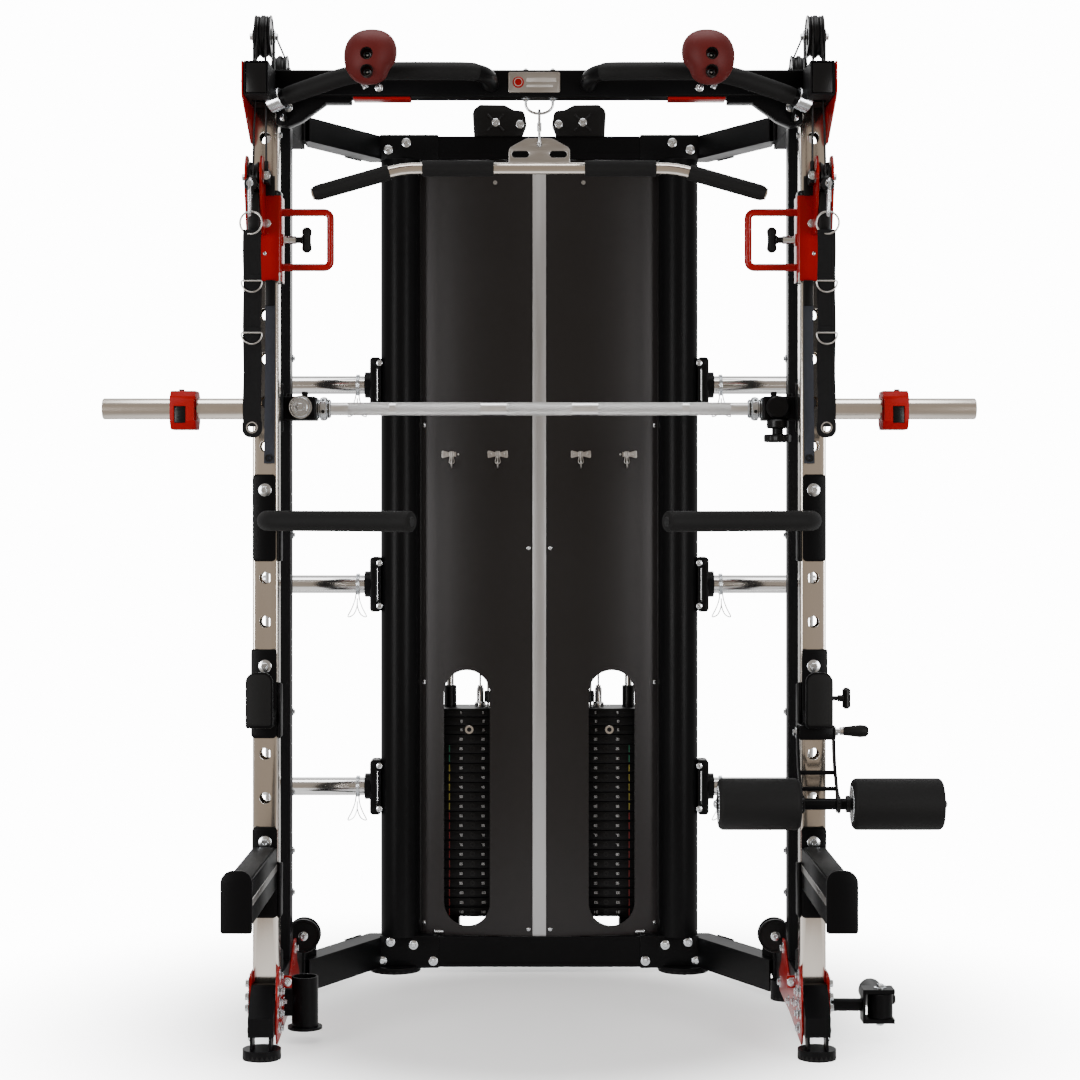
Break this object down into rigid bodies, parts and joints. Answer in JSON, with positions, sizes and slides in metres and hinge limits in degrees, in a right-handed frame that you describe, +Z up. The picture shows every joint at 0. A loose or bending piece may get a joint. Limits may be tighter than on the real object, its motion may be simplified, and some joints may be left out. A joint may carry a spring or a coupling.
{
  "type": "smith machine",
  "caption": "Free-standing Smith machine and rack with a guided bar, adjustable cable trolleys, weight stacks, pull-up handles and plug-in attachments.",
  "frame": {"origin": "on the floor, under the middle of the whole machine's box", "axes": "+Z up, +X along the smith bar to the right of someone facing the machine, +Y from the open front to the weight stacks"},
  "size_m": [2.01, 1.63, 2.2936],
  "materials": {
    "black_paint": "satin black powder coat",
    "red_paint": "gloss red",
    "chrome": "polished",
    "brushed_steel": "satin with knurled grips",
    "charcoal_paint": "charcoal metallic, semi-gloss",
    "red_rubber": "matte moulded",
    "black_foam": "closed-cell foam, matte",
    "black_plastic": "moulded",
    "webbing": "woven nylon webbing"
  },
  "bodies": {
    "root": {"landmine_bracket": "black_paint", "left_ball_grip": "red_rubber", "left_base_beam": "black_paint", "left_column": "black_paint", "left_dip_handle": "black_paint", "left_guide_rod": "chrome", "left_j_cup": "black_paint", "left_plate_horn_1": "chrome", "left_plate_horn_2": "chrome", "left_plate_horn_3": "chrome", "left_rear_post": "black_paint", "left_shroud": "charcoal_paint", "left_spotter_arm": "black_paint", "left_stack": "black_paint", "left_top_beam": "black_paint", "left_upright": "chrome", "pull_up_beam": "black_paint", "rear_base_frame": "black_paint", "rear_top_frame": "black_paint", "right_ball_grip": "red_rubber", "right_base_beam": "black_paint", "right_column": "black_paint", "right_dip_handle": "black_paint", "right_guide_rod": "chrome", "right_j_cup": "black_paint", "right_plate_horn_1": "chrome", "right_plate_horn_2": "chrome", "right_plate_horn_3": "chrome", "right_rear_post": "black_paint", "right_shroud": "charcoal_paint", "right_spotter_arm": "black_paint", "right_stack": "black_paint", "right_top_beam": "black_paint", "right_upright": "chrome"},
    "smith_carriages": {"left_smith_carriage": "black_paint", "right_smith_carriage": "black_paint"},
    "smith_bar": {"smith_bar": "brushed_steel"},
    "leg_arm": {"leg_arm": "black_paint"},
    "leg_roller_inner": {"leg_roller_inner": "black_foam"},
    "leg_roller_outer": {"leg_roller_outer": "black_foam"},
    "landmine_sleeve": {"landmine_sleeve": "black_paint"},
    "lat_bar": {"lat_bar": "chrome"},
    "left_collar": {"left_collar": "red_paint"},
    "left_trolley": {"left_trolley": "red_paint", "left_strap": "webbing", "left_cable": "black_plastic"},
    "left_trolley_pulley": {"left_trolley_pulley": "black_plastic"},
    "left_pop_pin": {"left_pop_pin": "chrome"},
    "left_top_pulley": {"left_top_pulley": "black_plastic"},
    "left_stack_head": {"left_stack_head": "black_paint"},
    "left_selector_pin": {"left_selector_pin": "chrome"},
    "right_collar": {"right_collar": "red_paint"},
    "right_trolley": {"right_trolley": "red_paint", "right_strap": "webbing", "right_cable": "black_plastic"},
    "right_trolley_pulley": {"right_trolley_pulley": "black_plastic"},
    "right_pop_pin": {"right_pop_pin": "chrome"},
    "right_top_pulley": {"right_top_pulley": "black_plastic"},
    "right_stack_head": {"right_stack_head": "black_paint"},
    "right_selector_pin": {"right_selector_pin": "chrome"}
  },
  "joints": [
    {"name": "carriage_slide", "type": "slide", "parent": "root", "child": "smith_carriages", "axis": [0, 0, 1], "range_m": [-1.1, 0.5]},
    {"name": "bar_turn", "type": "hinge", "parent": "smith_carriages", "child": "smith_bar", "pos_m": [0, -0.125, 1.435], "axis": [1, 0, 0], "range_deg": [0, 60]},
    {"name": "left_collar_slide", "type": "slide", "parent": "smith_bar", "child": "left_collar", "axis": [1, 0, 0], "range_m": [-0.12, 0.12]},
    {"name": "right_collar_slide", "type": "slide", "parent": "smith_bar", "child": "right_collar", "axis": [1, 0, 0], "range_m": [-0.12, 0.12]},
    {"name": "left_trolley_slide", "type": "slide", "parent": "root", "child": "left_trolley", "axis": [0, 0, 1], "range_m": [-0.35, 0], "deforming": ["left_strap", "left_cable"]},
    {"name": "left_trolley_pulley_spin", "type": "hinge", "parent": "left_trolley", "child": "left_trolley_pulley", "pos_m": [-0.626, -0.367, 1.935], "axis": [1, 0, 0], "continuous": true},
    {"name": "left_pop_pin_slide", "type": "slide", "parent": "left_trolley", "child": "left_pop_pin", "axis": [1, 0, 0], "range_m": [0, 0.02], "stiffness_N_per_m": 400, "springref_m": -0.01},
    {"name": "left_stack_lift", "type": "slide", "parent": "root", "child": "left_stack_head", "axis": [0, 0, 1], "range_m": [0, 1.2]},
    {"name": "left_selector_pull", "type": "slide", "parent": "left_stack_head", "child": "left_selector_pin", "axis": [0, 1, 0], "range_m": [-0.045, 0]},
    {"name": "left_top_pulley_spin", "type": "hinge", "parent": "root", "child": "left_top_pulley", "pos_m": [-0.607, -0.355, 2.2466], "axis": [1, 0, 0], "continuous": true},
    {"name": "right_trolley_slide", "type": "slide", "parent": "root", "child": "right_trolley", "axis": [0, 0, 1], "range_m": [-0.35, 0], "deforming": ["right_strap", "right_cable"]},
    {"name": "right_trolley_pulley_spin", "type": "hinge", "parent": "right_trolley", "child": "right_trolley_pulley", "pos_m": [0.626, -0.367, 1.935], "axis": [1, 0, 0], "continuous": true},
    {"name": "right_pop_pin_slide", "type": "slide", "parent": "right_trolley", "child": "right_pop_pin", "axis": [-1, 0, 0], "range_m": [0, 0.02], "stiffness_N_per_m": 400, "springref_m": -0.01},
    {"name": "right_stack_lift", "type": "slide", "parent": "root", "child": "right_stack_head", "axis": [0, 0, 1], "range_m": [0, 1.2]},
    {"name": "right_selector_pull", "type": "slide", "parent": "right_stack_head", "child": "right_selector_pin", "axis": [0, 1, 0], "range_m": [-0.045, 0]},
    {"name": "right_top_pulley_spin", "type": "hinge", "parent": "root", "child": "right_top_pulley", "pos_m": [0.607, -0.355, 2.2466], "axis": [1, 0, 0], "continuous": true},
    {"name": "leg_swing", "type": "hinge", "parent": "root", "child": "leg_arm", "pos_m": [0.6086, -0.358, 0.713], "axis": [-1, 0, 0], "range_deg": [0, 50]},
    {"name": "leg_roller_inner_spin", "type": "hinge", "parent": "leg_arm", "child": "leg_roller_inner", "pos_m": [0.476, -0.445, 0.5663], "axis": [1, 0, 0], "continuous": true},
    {"name": "leg_roller_outer_spin", "type": "hinge", "parent": "leg_arm", "child": "leg_roller_outer", "pos_m": [0.7755, -0.445, 0.5663], "axis": [1, 0, 0], "continuous": true},
    {"name": "landmine_swivel", "type": "hinge", "parent": "root", "child": "landmine_sleeve", "pos_m": [0.7716, -0.215, 0.0823], "axis": [0, 0, 1], "range_deg": [-75, 12]},
    {"name": "lat_bar_swing", "type": "hinge", "parent": "root", "child": "lat_bar", "pos_m": [0, -0.315, 2.084], "axis": [1, 0, 0], "range_deg": [-45, 45]}
  ],
  "couplings": [
    {"joint": "left_top_pulley_spin", "follows": "left_stack_lift", "rad_per_m": 23.04},
    {"joint": "left_trolley_pulley_spin", "follows": "left_stack_lift", "rad_per_m": 32.89},
    {"joint": "right_top_pulley_spin", "follows": "right_stack_lift", "rad_per_m": 23.04},
    {"joint": "right_trolley_pulley_spin", "follows": "right_stack_lift", "rad_per_m": 32.89}
  ]
}
